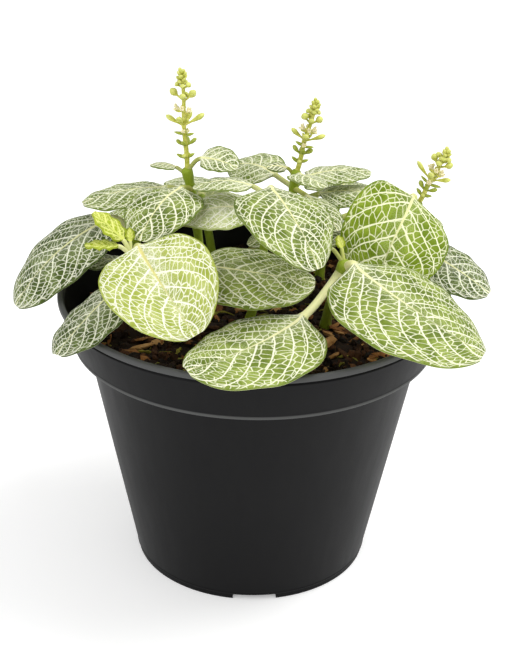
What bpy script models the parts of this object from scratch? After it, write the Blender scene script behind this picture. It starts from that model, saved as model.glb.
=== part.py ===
"""Potted nerve plant: a black plastic nursery pot, its root ball, rooted stems, leaves and flower spikes.

Units are metres, +Z is up. The origin is on the pot's axis, on the ground that the foot ring stands on.
Each leaf is one solid of blade and stalk. It stops a hair short of its stem, as every neighbour does.
"""
import math
from collections import namedtuple

import bmesh
import bpy
from mathutils import Matrix, Vector

MM = 0.001
GAP = 0.4 * MM                # air left between pieces that touch on the real plant

# Pot
POT_HEIGHT = 111 * MM
RIM_RADIUS = 74.5 * MM        # outside of the collar at its top
COLLAR_HEIGHT = 19 * MM
COLLAR_FOOT_RADIUS = 69 * MM  # outside of the collar at its lower edge
BODY_TOP_RADIUS = 64 * MM     # outside of the body where the collar steps out
BASE_RADIUS = 46 * MM
WALL = 1.4 * MM
LIP_HEIGHT = 2.2 * MM
LIP_PROUD = 0.6 * MM          # how far the bead round the mouth stands out of the collar
FOOT_HEIGHT = 2.6 * MM
FOOT_INSET = 0.6 * MM
FOOT_WIDTH = 3 * MM
NOTCH_WIDTH = 16.5 * MM
NOTCH_COUNT = 4
NOTCH_TURN = math.radians(2.5)
DRAIN_HOLE_RADIUS = 4 * MM
DRAIN_HOLE_CIRCLE = 33 * MM
DRAIN_HOLE_COUNT = 6
POT_SEGMENTS = 64

# Root ball
SOIL_TOP = 99 * MM
SOIL_SEGMENTS = 40

# Leaves
BLADE_THICKNESS = 0.9 * MM
BLADE_EDGE = 0.5 * MM
BLADE_CURL = 0.12             # how far the margins hang below the midrib, as a share of the half width
BLADE_STATIONS = (0.02, 0.1, 0.24, 0.42, 0.6, 0.77, 0.9, 0.98)
BLADE_ACROSS = (-1.0, -0.55, 0.0, 0.55, 1.0)
STALK_STATIONS = (0.0, 0.45, 0.9)

STEM_SIDES = 8
STEM_RINGS = 9

COLOURS = {
    "pot": (0.02, 0.021, 0.023),
    "soil": (0.045, 0.024, 0.012),
    "leaf": (0.26, 0.38, 0.14),
    "stem": (0.30, 0.36, 0.07),
    "bud": (0.62, 0.68, 0.22),
    "young": (0.55, 0.62, 0.08),
}
ROUGHNESS = {"pot": 0.45, "soil": 0.95, "leaf": 0.5, "stem": 0.5, "bud": 0.55, "young": 0.5}

# foot: where it leaves the soil; lean: the point it bends towards; top: its last node, all in millimetres
Stem = namedtuple("Stem", "foot lean top radius")
STEMS = {
    "stem_left_spike": Stem((-20, 12), (-21, 12, 130), (-26, 10, 154), 1.7),
    "stem_centre_spike": Stem((14, 22), (12, 22, 130), (15, 18, 151), 1.7),
    "stem_right_spike": Stem((44, 6), (52, 6, 125), (60, 1, 146), 1.7),
    "stem_centre": Stem((-2, -6), (4, -4, 120), (4, -6, 151), 1.7),
    "stem_front_right": Stem((27, -8), (28, -16, 115), (32, -29, 134), 1.9),
    "stem_front_left": Stem((-28, -14), (-34, -18, 120), (-44, -31, 137), 1.8),
    "stem_left": Stem((-40, 10), (-42, 10, 115), (-48, 7, 134), 1.8),
    "stem_back_left": Stem((-16, 36), (-18, 38, 116), (-22, 42, 131), 1.7),
    "stem_back_right": Stem((26, 38), (28, 40, 116), (33, 43, 131), 1.7),
}

# stem and joint: which stem, and how far up it (0 to 1) the stalk leaves; heading: the way the stalk and blade
# point; climb and reach: the stalk's slope and its length (mm); rise, droop, turn: the blade's slope where it
# begins, how far it bends down and how far sideways; tilt: roll about the midrib; length: of the blade (mm).
# Angles are in degrees.
Leaf = namedtuple("Leaf", "stem joint heading climb reach rise droop turn tilt length shape")
LEAVES = {
    # round the left spike
    "leaf_spike_left_right": Leaf("stem_left_spike", 1.0, -20, 45, 8, 10, 35, 0, -20, 15, "round"),
    "leaf_spike_left_left": Leaf("stem_left_spike", 0.95, 185, 40, 6, 25, 40, 0, 0, 10, "oval"),
    "leaf_upper_left": Leaf("stem_left_spike", 0.85, -110, 20, 10, 15, 60, -10, 0, 36, "oval"),
    "leaf_left_back": Leaf("stem_left_spike", 0.80, 190, 20, 10, 5, 25, 5, 0, 33, "oval"),
    "leaf_left_inner": Leaf("stem_left_spike", 0.55, 190, 10, 8, 5, 20, 0, 0, 15, "oval"),
    "leaf_back_of_left_spike": Leaf("stem_left_spike", 0.75, 95, 10, 10, 5, 40, 5, 0, 27, "oval"),
    # round the centre spike
    "leaf_spike_centre_front": Leaf("stem_centre_spike", 0.95, -75, 30, 7, 20, 35, 30, 10, 19, "oval"),
    "leaf_spike_centre_left": Leaf("stem_centre_spike", 0.95, 180, 50, 5, 20, 40, 0, 20, 8, "oval"),
    "leaf_centre_back": Leaf("stem_centre_spike", 0.85, 130, 10, 11, 15, 45, 15, 20, 26, "oval"),
    "leaf_right_back": Leaf("stem_centre_spike", 0.85, 30, 30, 7, 10, 20, -40, 0, 26, "oval"),
    "leaf_right_back_low": Leaf("stem_centre_spike", 0.70, 5, 20, 11, 15, 35, -35, 0, 32, "oval"),
    "leaf_centre_right": Leaf("stem_centre_spike", 0.85, -60, 0, 10, 0, 40, 10, 5, 22, "oval"),
    # round the middle stem
    "leaf_centre": Leaf("stem_centre", 1.0, -80, 35, 10, 15, 75, 35, 5, 46, "oval"),
    "leaf_centre_left": Leaf("stem_centre", 0.85, -175, 30, 6, 20, 60, -10, 20, 27, "oval"),
    "leaf_centre_top": Leaf("stem_centre", 1.0, -190, 30, 6, 20, 45, 25, 0, 23, "long"),
    "leaf_centre_under": Leaf("stem_centre", 0.50, -150, -10, 8, -30, 30, 0, 0, 15, "oval"),
    # front right stem, which carries the two largest leaves over the rim
    "leaf_front_right": Leaf("stem_front_right", 0.95, -55, 30, 7, -10, 15, 35, -5, 60, "oval"),
    "leaf_front_centre": Leaf("stem_front_right", 0.90, -125, -20, 26, -5, 0, -30, 5, 53, "oval"),
    # right spike stem
    "leaf_right_upright": Leaf("stem_right_spike", 0.95, -105, 45, 10, -15, 70, -50, 40, 42, "round"),
    "leaf_far_right": Leaf("stem_right_spike", 0.60, -30, 0, 11, -15, 20, 10, -15, 30, "oval"),
    "leaf_right_behind": Leaf("stem_right_spike", 0.60, 110, -10, 8, -5, 45, 0, 0, 24, "oval"),
    "leaf_right_low": Leaf("stem_right_spike", 0.35, 35, 10, 10, 5, 40, 0, 0, 24, "oval"),
    "leaf_inner_right": Leaf("stem_right_spike", 0.60, 160, 10, 9, 10, 45, 10, 0, 26, "oval"),
    # front left stem
    "leaf_front_left": Leaf("stem_front_left", 0.95, -70, 50, 9, -10, 40, 35, -20, 43, "round"),
    "leaf_low_left": Leaf("stem_front_left", 0.70, -140, 0, 11, -25, 10, 10, -10, 37, "oval"),
    "leaf_low_centre": Leaf("stem_front_left", 0.70, -15, 20, 19, 0, 10, 15, -15, 44, "oval"),
    # left stem
    "leaf_far_left": Leaf("stem_left", 0.95, 205, 30, 9, -15, 45, 0, 10, 50, "long"),
    "leaf_left_under": Leaf("stem_left", 0.45, 165, 10, 9, 5, 20, 0, 0, 20, "oval"),
    "leaf_left_behind": Leaf("stem_left", 0.80, 130, 10, 8, 0, 45, 5, 0, 37, "oval"),
    # back stems
    "leaf_back_far_left": Leaf("stem_back_left", 0.70, 150, 10, 12, 5, 45, 0, 0, 42, "oval"),
    "leaf_back_left": Leaf("stem_back_left", 0.95, 95, 10, 8, 5, 60, 0, 0, 45, "oval"),
    "leaf_back_middle": Leaf("stem_back_left", 0.90, 0, 10, 9, 10, 45, 0, 0, 28, "oval"),
    "leaf_back_right": Leaf("stem_back_right", 0.95, 80, 10, 8, 5, 60, 0, 0, 45, "oval"),
    "leaf_back_far_right": Leaf("stem_back_right", 0.70, 25, 10, 12, 10, 50, 0, 0, 42, "oval"),
    "leaf_back_low": Leaf("stem_back_right", 0.50, 135, 10, 16, 10, 40, -25, 0, 36, "oval"),
    "leaf_inner_back": Leaf("stem_back_right", 0.60, -160, 10, 10, 10, 40, 0, 0, 26, "oval"),
    # young shoots
    "young_left_upper": Leaf("stem_front_left", 1.0, 155, 60, 6, 40, 10, 0, 0, 15, "young"),
    "young_left_lower": Leaf("stem_front_left", 1.0, 190, 40, 6, 10, 15, 0, 0, 12, "young"),
    "young_left_right": Leaf("stem_front_left", 1.0, 100, 60, 5, 65, 10, 0, 0, 5, "young"),
    "young_right_upper": Leaf("stem_front_right", 1.0, 110, 60, 6, 50, 10, 0, 0, 5, "young"),
    "young_right_lower": Leaf("stem_front_right", 1.0, 150, 45, 7, 35, 10, 0, -30, 11, "young"),
}
# width as a share of the length, and the degrees by which the two halves are raised into a V
SHAPES = {"oval": (0.77, -4), "round": (0.96, 12), "long": (0.63, -4), "young": (0.6, 10)}
STALK_THINNEST = 0.55         # radius in mm of the stalk of a leaf with no length
STALK_GROWTH = 0.018          # how much radius each mm of blade adds

# the stem that carries the spike, and the spike's tip (mm)
Spike = namedtuple("Spike", "stem tip")
SPIKES = {
    "spike_left": Spike("stem_left_spike", (-28, 13, 192)),
    "spike_centre": Spike("stem_centre_spike", (22, 20, 179)),
    "spike_right": Spike("stem_right_spike", (70, 2, 167)),
}
SPIKE_RADIUS = 0.9 * MM
SPIKE_RINGS = 6
WHORLS = 6                    # opposite pairs of buds up the stalk
BUD_SIDES = 6
BUD_RADIUS = 1.1 * MM
BUD_STALK_RADIUS = 0.4 * MM
BUD_REACH = 6.4 * MM          # from the stalk's axis to a bud's end, on the lowest pair


def clear_scene():
    for obj in list(bpy.data.objects):
        bpy.data.objects.remove(obj)


def material(kind):
    """The Principled material of one kind of surface, made once."""
    found = bpy.data.materials.get(kind)
    if found:
        return found
    made = bpy.data.materials.new(kind)
    made.use_nodes = True
    shader = made.node_tree.nodes["Principled BSDF"]
    shader.inputs["Base Color"].default_value = (*COLOURS[kind], 1)
    shader.inputs["Roughness"].default_value = ROUGHNESS[kind]
    shader.inputs["Metallic"].default_value = 0
    return made


def add_object(name, bm, kind, smooth=True):
    """Turns a bmesh into a named object with its faces pointing out."""
    bmesh.ops.recalc_face_normals(bm, faces=bm.faces)
    mesh = bpy.data.meshes.new(name)
    bm.to_mesh(mesh)
    bm.free()
    if smooth:
        mesh.shade_smooth()
    mesh.materials.append(material(kind))
    obj = bpy.data.objects.new(name, mesh)
    bpy.context.scene.collection.objects.link(obj)
    return obj


def skin(bm, rings):
    """Bridges closed rings of points into one closed body, its two ends capped."""
    loops = []
    for ring in rings:
        verts = [bm.verts.new(point) for point in ring]
        loops.append(verts)
    for lower, upper in zip(loops, loops[1:]):
        count = len(lower)
        for i in range(count):
            k = (i + 1) % count
            bm.faces.new((lower[i], lower[k], upper[k], upper[i]))
    bm.faces.new(loops[0])
    bm.faces.new(loops[-1])


def spun(name, profile, segments, kind):
    """A solid of revolution about Z. The profile is a list of (radius, height), both ends on the axis."""
    bm = bmesh.new()
    verts = [bm.verts.new((radius, 0, height)) for radius, height in profile]
    edges = [bm.edges.new(pair) for pair in zip(verts, verts[1:])]
    bmesh.ops.spin(
        bm, geom=verts + edges, cent=(0, 0, 0), axis=(0, 0, 1), angle=math.tau, steps=segments, use_merge=True
    )
    bmesh.ops.remove_doubles(bm, verts=bm.verts, dist=1e-6)
    return add_object(name, bm, kind)


def cutter(name, bm, target):
    """Hides a helper shape and cuts it out of the target."""
    obj = add_object(name, bm, "pot", smooth=False)
    obj.hide_render = True
    obj.display_type = "WIRE"
    cut = target.modifiers.new(name, "BOOLEAN")
    cut.operation = "DIFFERENCE"
    cut.solver = "EXACT"
    cut.object = obj


def make_pot():
    shoulder = POT_HEIGHT - COLLAR_HEIGHT
    lip = POT_HEIGHT - LIP_HEIGHT
    foot_outer = BASE_RADIUS - FOOT_INSET
    profile = [
        (0, FOOT_HEIGHT),
        (foot_outer - FOOT_WIDTH, FOOT_HEIGHT),
        (foot_outer - FOOT_WIDTH, 0),
        (foot_outer, 0),
        (foot_outer, FOOT_HEIGHT - FOOT_INSET),
        (BASE_RADIUS, FOOT_HEIGHT),
        (BODY_TOP_RADIUS, shoulder),
        (COLLAR_FOOT_RADIUS, shoulder),
        (RIM_RADIUS - LIP_PROUD, lip),
        (RIM_RADIUS, lip),
        (RIM_RADIUS, POT_HEIGHT),
        (RIM_RADIUS - LIP_PROUD - WALL, POT_HEIGHT),
        (COLLAR_FOOT_RADIUS - WALL, shoulder + WALL),
        (BODY_TOP_RADIUS - WALL, shoulder + WALL),
        (BASE_RADIUS - WALL, FOOT_HEIGHT + WALL),
        (0, FOOT_HEIGHT + WALL),
    ]
    pot = spun("pot", profile, POT_SEGMENTS, "pot")

    notches = bmesh.new()
    for i in range(NOTCH_COUNT):
        made = bmesh.ops.create_cube(notches, size=1)["verts"]
        bmesh.ops.scale(notches, verts=made, vec=(12 * MM, NOTCH_WIDTH, 2 * (FOOT_HEIGHT - FOOT_INSET)))
        bmesh.ops.translate(notches, verts=made, vec=(BASE_RADIUS, 0, 0))
        turn = NOTCH_TURN - math.pi / 2 + i * math.tau / NOTCH_COUNT
        bmesh.ops.rotate(notches, verts=made, cent=(0, 0, 0), matrix=Matrix.Rotation(turn, 3, "Z"))
    cutter("foot_notches", notches, pot)

    holes = bmesh.new()
    for i in range(DRAIN_HOLE_COUNT):
        turn = (i + 0.5) * math.tau / DRAIN_HOLE_COUNT
        made = bmesh.ops.create_cone(
            holes, cap_ends=True, segments=16, radius1=DRAIN_HOLE_RADIUS, radius2=DRAIN_HOLE_RADIUS, depth=10 * MM
        )["verts"]
        place = (DRAIN_HOLE_CIRCLE * math.cos(turn), DRAIN_HOLE_CIRCLE * math.sin(turn), FOOT_HEIGHT)
        bmesh.ops.translate(holes, verts=made, vec=place)
    cutter("drain_holes", holes, pot)
    return pot


def make_soil():
    """The root ball, a plug that fills the pot's body to a little under the rim."""
    shoulder = POT_HEIGHT - COLLAR_HEIGHT + WALL
    floor = FOOT_HEIGHT + WALL + GAP
    inside = BODY_TOP_RADIUS - WALL - GAP
    ledge = COLLAR_FOOT_RADIUS - WALL - 2 * GAP
    profile = [
        (0, floor),
        (BASE_RADIUS - WALL - 2 * GAP, floor),
        (inside - GAP, shoulder),
        (inside - GAP, shoulder + GAP),
        (ledge, shoulder + GAP),
        (ledge, SOIL_TOP - 1 * MM),
        (ledge - 2 * MM, SOIL_TOP),
        (0, SOIL_TOP),
    ]
    return spun("root_ball", profile, SOIL_SEGMENTS, "soil")


def bezier(points, t):
    """A point on the Bezier curve through 3 or 4 control points."""
    while len(points) > 1:
        points = [a.lerp(b, t) for a, b in zip(points, points[1:])]
    return points[0]


def stem_curve(stem):
    """Control points of a stem, from just above the soil to its top node."""
    foot = Vector((stem.foot[0] * MM, stem.foot[1] * MM, SOIL_TOP + GAP))
    return [foot, Vector(stem.lean) * MM, Vector(stem.top) * MM]


def circle(centre, along, radius, sides):
    """Points round a centre, in the plane across a direction."""
    along = along.normalized()
    side = along.cross(Vector((0, 1, 0))).normalized()
    up = side.cross(along)
    turns = [math.tau * i / sides for i in range(sides)]
    return [centre + (side * math.cos(a) + up * math.sin(a)) * radius for a in turns]


def make_stem(name, stem):
    """A stem that thickens at its foot and in a joint at its top."""
    control = stem_curve(stem)
    rings = []
    for i in range(STEM_RINGS):
        t = i / (STEM_RINGS - 1)
        along = bezier(control, min(1, t + 0.02)) - bezier(control, max(0, t - 0.02))
        if i == 0:
            along = Vector((0, 0, 1))
        swell = 1 + 0.25 * max(0, 1 - 6 * t) + 0.15 * max(0, 6 * t - 5)
        rings.append(circle(bezier(control, t), along, stem.radius * MM * swell, STEM_SIDES))
    bm = bmesh.new()
    skin(bm, rings)
    return add_object(name, bm, "stem")


def half_width(u):
    """Outline of a blade: half width at u along the midrib, 1 at the widest."""
    v = u ** 0.8
    return max(0.0, 1 - abs(2 * v - 1) ** 2.1) ** 0.56


def stalk_joint(leaf):
    """Where a leaf's stalk leaves its stem."""
    return bezier(stem_curve(STEMS[leaf.stem]), leaf.joint)


def blade_start(leaf):
    """Where the blade begins: the far end of the stalk."""
    heading = math.radians(leaf.heading)
    climb = math.radians(leaf.climb)
    flat = Vector((math.cos(heading), math.sin(heading), 0))
    return stalk_joint(leaf) + (flat * math.cos(climb) + Vector((0, 0, math.sin(climb)))) * leaf.reach * MM


def blade_frame(leaf, steps=24):
    """Midrib points of a blade with the directions across it and out of it, base to tip."""
    point = blade_start(leaf)
    frames = []
    for i in range(steps + 1):
        u = i / steps
        heading = math.radians(leaf.heading + leaf.turn * u)
        pitch = math.radians(leaf.rise - leaf.droop * u)
        flat = Vector((math.cos(heading), math.sin(heading), 0))
        along = flat * math.cos(pitch) + Vector((0, 0, math.sin(pitch)))
        side = Vector((math.sin(heading), -math.cos(heading), 0))
        out = side.cross(along)
        roll = math.radians(leaf.tilt)
        across = side * math.cos(roll) + out * math.sin(roll)
        out = out * math.cos(roll) - side * math.sin(roll)
        if i:
            point = point + (along + frames[-1][1]) / 2 * (leaf.length * MM / steps)
        frames.append((point.copy(), along, across, out))
    return frames


def at_station(frames, u):
    """Midrib point and directions at u, read between the frames."""
    x = u * (len(frames) - 1)
    i = min(int(x), len(frames) - 2)
    return [a.lerp(b, x - i) for a, b in zip(frames[i], frames[i + 1])]


def blade_ring(frames, leaf, u):
    """One closed ring of points round a blade: along its upper side, then back along its lower side."""
    point, _, across, out = at_station(frames, u)
    ratio, raised = SHAPES[leaf.shape]
    half = half_width(u) * leaf.length * ratio / 2 * MM
    fold = math.radians(raised)
    upper = []
    lower = []
    for t in BLADE_ACROSS:
        lift = abs(t) * math.sin(fold) - BLADE_CURL * t * t
        place = point + across * (half * t * math.cos(fold)) + out * (half * lift)
        thick = BLADE_THICKNESS + (BLADE_EDGE - BLADE_THICKNESS) * abs(t)
        upper.append(place + out * thick / 2)
        lower.append(place - out * thick / 2)
    return upper + lower[::-1]


def stalk_ring(centre, across, out, radius):
    """A round ring with as many points as a blade's ring, in the same order."""
    count = len(BLADE_ACROSS)
    step = math.tau / (2 * count)
    angles = [math.pi - step * (i + 0.5) for i in range(2 * count)]
    return [centre + (across * math.cos(a) + out * math.sin(a)) * radius for a in angles]


def make_leaf(name, leaf):
    """A leaf: a curved blade with its stalk, which ends just clear of the stem."""
    frames = blade_frame(leaf)
    start, along, across, out = frames[0]
    stem = STEMS[leaf.stem]
    joint = stalk_joint(leaf)
    thick = (STALK_THINNEST + STALK_GROWTH * leaf.length) * MM
    control = [joint, joint.lerp(start, 0.45), start - along * (start - joint).length * 0.35, start]
    total = (start - joint).length
    skip = min(0.8, (stem.radius * MM * 1.15 + 2 * GAP) / total)
    rings = []
    for share in STALK_STATIONS:
        t = skip + (1 - skip) * share
        centre = bezier(control, t)
        direction = bezier(control, min(1, t + 0.02)) - bezier(control, t - 0.02)
        side = direction.cross(out).normalized()
        rings.append(stalk_ring(centre, side, side.cross(direction).normalized(), thick))
    rings += [blade_ring(frames, leaf, u) for u in BLADE_STATIONS]
    bm = bmesh.new()
    skin(bm, rings)
    kind = "young" if name.startswith("young") else "leaf"
    return add_object(name, bm, kind)


def bud(bm, start, lean, reach, thick):
    """A bud on its short stalk, as one closed body."""
    end = start + lean * reach
    stalk = BUD_STALK_RADIUS
    sections = [
        (start, stalk),
        (start.lerp(end, 0.5), stalk),
        (start.lerp(end, 0.72), thick),
        (end, thick * 0.85),
        (end + lean * thick * 0.8, thick * 0.3),
    ]
    skin(bm, [circle(centre, lean, radius, BUD_SIDES) for centre, radius in sections])


def make_spike(name, spike):
    """A flower spike: a tapering stalk with opposite pairs of buds, closest and smallest at its tip."""
    stem = STEMS[spike.stem]
    top = Vector(stem.top) * MM
    tip = Vector(spike.tip) * MM
    along = (tip - top).normalized()
    foot = top + along * (stem.radius * MM * 0.3 + GAP)
    length = (tip - foot).length
    shares = [i / (SPIKE_RINGS - 1) for i in range(SPIKE_RINGS)]
    stalk = bmesh.new()
    sections = [(foot + along * length * t, SPIKE_RADIUS * (1.25 - 0.5 * t)) for t in shares]
    skin(stalk, [circle(centre, along, radius, STEM_SIDES) for centre, radius in sections])
    spike_object = add_object(name, stalk, "bud")

    side = along.cross(Vector((0, 1, 0))).normalized()
    front = side.cross(along)
    buds = bmesh.new()
    for i in range(WHORLS):
        t = 0.24 + 0.68 * i / (WHORLS - 1)
        turn = i * math.pi / 2 + 0.3
        for flip in (0, math.pi):
            out = side * math.cos(turn + flip) + front * math.sin(turn + flip)
            lean = (out + along * 0.6).normalized()
            bud(buds, foot + along * length * t, lean, BUD_REACH * (1.1 - 0.6 * t), BUD_RADIUS * (1.15 - 0.3 * t))
    helper = add_object(name + "_buds", buds, "bud")
    helper.hide_render = True
    helper.display_type = "WIRE"
    join = spike_object.modifiers.new("buds", "BOOLEAN")
    join.operation = "UNION"
    join.solver = "EXACT"
    join.object = helper
    return spike_object


def main():
    clear_scene()
    make_pot()
    make_soil()
    for name, stem in STEMS.items():
        make_stem(name, stem)
    for name, leaf in LEAVES.items():
        make_leaf(name, leaf)
    for name, spike in SPIKES.items():
        make_spike(name, spike)


main()
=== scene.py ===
# Potted nerve plant: the looks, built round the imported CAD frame.
import math
import random

import bpy
import numpy as np
from mathutils import Matrix, Vector, noise


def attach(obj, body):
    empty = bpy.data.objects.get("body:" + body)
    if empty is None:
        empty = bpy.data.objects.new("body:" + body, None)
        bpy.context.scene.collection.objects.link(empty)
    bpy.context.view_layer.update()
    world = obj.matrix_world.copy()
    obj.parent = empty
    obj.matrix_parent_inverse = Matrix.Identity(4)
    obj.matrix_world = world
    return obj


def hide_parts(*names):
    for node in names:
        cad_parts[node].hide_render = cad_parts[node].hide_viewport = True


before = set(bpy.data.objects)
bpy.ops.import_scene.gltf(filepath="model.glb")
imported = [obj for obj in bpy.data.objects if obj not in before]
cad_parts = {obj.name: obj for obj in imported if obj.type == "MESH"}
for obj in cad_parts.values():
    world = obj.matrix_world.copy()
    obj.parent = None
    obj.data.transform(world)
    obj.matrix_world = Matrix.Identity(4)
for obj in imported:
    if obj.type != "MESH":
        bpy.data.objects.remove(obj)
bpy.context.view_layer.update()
mm = 0.001


# small tools

class Wire:
    # one socket in a material's tree; sums written on it become Math nodes
    def __init__(self, finish, socket):
        self.finish = finish
        self.socket = socket

    def sum(self, operation, *values):
        return self.finish.node("ShaderNodeMath", {"operation": operation}, dict(enumerate(values)))

    def __add__(self, other):
        return self.sum("ADD", self, other)

    def __radd__(self, other):
        return self.sum("ADD", other, self)

    def __sub__(self, other):
        return self.sum("SUBTRACT", self, other)

    def __rsub__(self, other):
        return self.sum("SUBTRACT", other, self)

    def __mul__(self, other):
        return self.sum("MULTIPLY", self, other)

    def __rmul__(self, other):
        return self.sum("MULTIPLY", other, self)

    def __truediv__(self, other):
        return self.sum("DIVIDE", self, other)

    def __pow__(self, other):
        return self.sum("POWER", self, other)

    def __abs__(self):
        return self.sum("ABSOLUTE", self)

    def fraction(self):
        return self.sum("FRACT", self)

    def least(self, other):
        return self.sum("MINIMUM", self, other)

    def most(self, other):
        return self.sum("MAXIMUM", self, other)

    def rise(self, low, high):
        # 0 below low, 1 above high, smooth between; low may be the larger
        settings = {"interpolation_type": "SMOOTHSTEP"}
        return self.finish.node("ShaderNodeMapRange", settings, {0: self, 1: low, 2: high, 3: 0.0, 4: 1.0})


class Finish:
    # a material and its Principled shader; node() adds any other node
    def __init__(self, name):
        self.material = bpy.data.materials.new(name)
        self.material.use_nodes = True
        self.tree = self.material.node_tree
        self.shader = self.tree.nodes["Principled BSDF"]

    def feed(self, socket, value):
        if isinstance(value, Wire):
            self.tree.links.new(value.socket, socket)
        elif value is not None:
            socket.default_value = value

    def node(self, kind, settings=None, inputs=None, output=0):
        made = self.tree.nodes.new(kind)
        for key, value in (settings or {}).items():
            if key == "stops":
                ramp = made.color_ramp
                while len(ramp.elements) < len(value):
                    ramp.elements.new(0.5)
                for stop, (place, colour) in zip(ramp.elements, value):
                    stop.position = place
                    stop.color = colour
            else:
                setattr(made, key, value)
        for key, value in (inputs or {}).items():
            self.feed(made.inputs[key], value)
        return Wire(self, made.outputs[output])

    def attribute(self, name, output="Fac"):
        return self.node("ShaderNodeAttribute", {"attribute_name": name}, {}, output)

    def parts(self, vector):
        # the three numbers of a vector socket
        split = self.node("ShaderNodeSeparateXYZ", {}, {0: vector}).socket.node
        return [Wire(self, socket) for socket in split.outputs]

    def vector(self, x, y, z):
        return self.node("ShaderNodeCombineXYZ", {}, {0: x, 1: y, 2: z})

    def place(self):
        return self.node("ShaderNodeTexCoord", {}, {}, "Object")

    def noise(self, vector, scale, detail=2.0, roughness=0.5):
        return self.node("ShaderNodeTexNoise", {}, {
            "Vector": vector, "Scale": scale, "Detail": detail, "Roughness": roughness})

    def mix(self, share, first, second, blend="MIX"):
        settings = {"data_type": "RGBA", "blend_type": blend}
        return self.node("ShaderNodeMix", settings, {0: share, 6: first, 7: second}, 2)

    def bump(self, height, depth, strength=1.0, under=None):
        inputs = {"Height": height, "Distance": depth, "Strength": strength, "Normal": under}
        return self.node("ShaderNodeBump", {}, inputs)

    def give(self, **values):
        # fills the shader's own sockets, for example baseColor= fills Base Color
        for key, value in values.items():
            name = "".join(" " + c if c.isupper() else c for c in key).title()
            self.feed(self.shader.inputs[name.replace("Ior", "IOR")], value)
        return self.material


def colour(code):
    # a hex colour as linear light, the way shader sockets want it
    shares = [int(code[i:i + 2], 16) / 255 for i in (1, 3, 5)]
    return (*[c / 12.92 if c < 0.04045 else ((c + 0.055) / 1.055) ** 2.4 for c in shares], 1)


def clearSelection():
    if bpy.context.object and bpy.context.object.mode != "OBJECT":
        bpy.ops.object.mode_set(mode="OBJECT")
    bpy.ops.object.select_all(action="DESELECT")


def takeActive(name):
    made = bpy.context.active_object
    made.name = name
    made.data.name = name
    return made


def activate(piece):
    clearSelection()
    piece.select_set(True)
    bpy.context.view_layer.objects.active = piece


def joinAll(name, parts):
    clearSelection()
    for part in parts:
        part.select_set(True)
    bpy.context.view_layer.objects.active = parts[0]
    if len(parts) > 1:
        bpy.ops.object.join()
    return takeActive(name)


def smooth(piece, degrees=40):
    activate(piece)
    bpy.ops.object.shade_smooth_by_angle(angle=math.radians(degrees))


def finishPiece(piece, material, nodes=()):
    piece.data.materials.clear()
    piece.data.materials.append(material)
    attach(piece, "root")
    if nodes:
        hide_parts(*nodes)


def skinRings(name, rings):
    # a closed body from rings of points, ring by ring; rings has the shape (count, points, 3)
    count, points = rings.shape[:2]
    clearSelection()
    bpy.ops.mesh.primitive_grid_add(x_subdivisions=points, y_subdivisions=count - 1, size=1)
    piece = takeActive(name)
    closed = np.concatenate([rings, rings[:, :1]], axis=1)
    piece.data.vertices.foreach_set("co", closed.reshape(-1).astype(np.float32))
    piece.data.update()
    return piece


def closeSkin(piece):
    # merges the seam, caps both ends and turns the faces outwards
    activate(piece)
    bpy.ops.object.mode_set(mode="EDIT")
    bpy.ops.mesh.select_all(action="SELECT")
    bpy.ops.mesh.remove_doubles(threshold=1e-6)
    bpy.ops.mesh.select_all(action="SELECT")
    bpy.ops.mesh.fill_holes(sides=0)
    bpy.ops.mesh.select_all(action="SELECT")
    bpy.ops.mesh.normals_make_consistent(inside=False)
    bpy.ops.object.mode_set(mode="OBJECT")


def storeValues(piece, name, values):
    layer = piece.data.attributes.new(name, "FLOAT", "POINT")
    layer.data.foreach_set("value", np.asarray(values, np.float32).reshape(-1))


def curvePoint(control, t):
    # Bezier curve through the control points, at one t or at an array of them
    t = np.asarray(t, float)[..., None]
    points = [np.asarray(p, float) for p in control]
    while len(points) > 1:
        points = [a * (1 - t) + b * t for a, b in zip(points, points[1:])]
    return points[0]


def unit(v):
    v = np.asarray(v, float)
    return v / np.maximum(np.linalg.norm(v, axis=-1, keepdims=True), 1e-12)


# the plant's plan, the same as the CAD's: millimetres and degrees

stemPlan = {
    # foot on the soil, the point it bends towards, its top node, radius
    "stem_left_spike": ((-20, 12), (-21, 12, 130), (-26, 10, 154), 1.7),
    "stem_centre_spike": ((14, 22), (12, 22, 130), (15, 18, 151), 1.7),
    "stem_right_spike": ((44, 6), (52, 6, 125), (60, 1, 146), 1.7),
    "stem_centre": ((-2, -6), (4, -4, 120), (4, -6, 151), 1.7),
    "stem_front_right": ((27, -8), (28, -16, 115), (32, -29, 134), 1.9),
    "stem_front_left": ((-28, -14), (-34, -18, 120), (-44, -31, 137), 1.8),
    "stem_left": ((-40, 10), (-42, 10, 115), (-48, 7, 134), 1.8),
    "stem_back_left": ((-16, 36), (-18, 38, 116), (-22, 42, 131), 1.7),
    "stem_back_right": ((26, 38), (28, 40, 116), (33, 43, 131), 1.7),
}
stemFoot = 99.4        # height in mm where a stem leaves the soil

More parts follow.
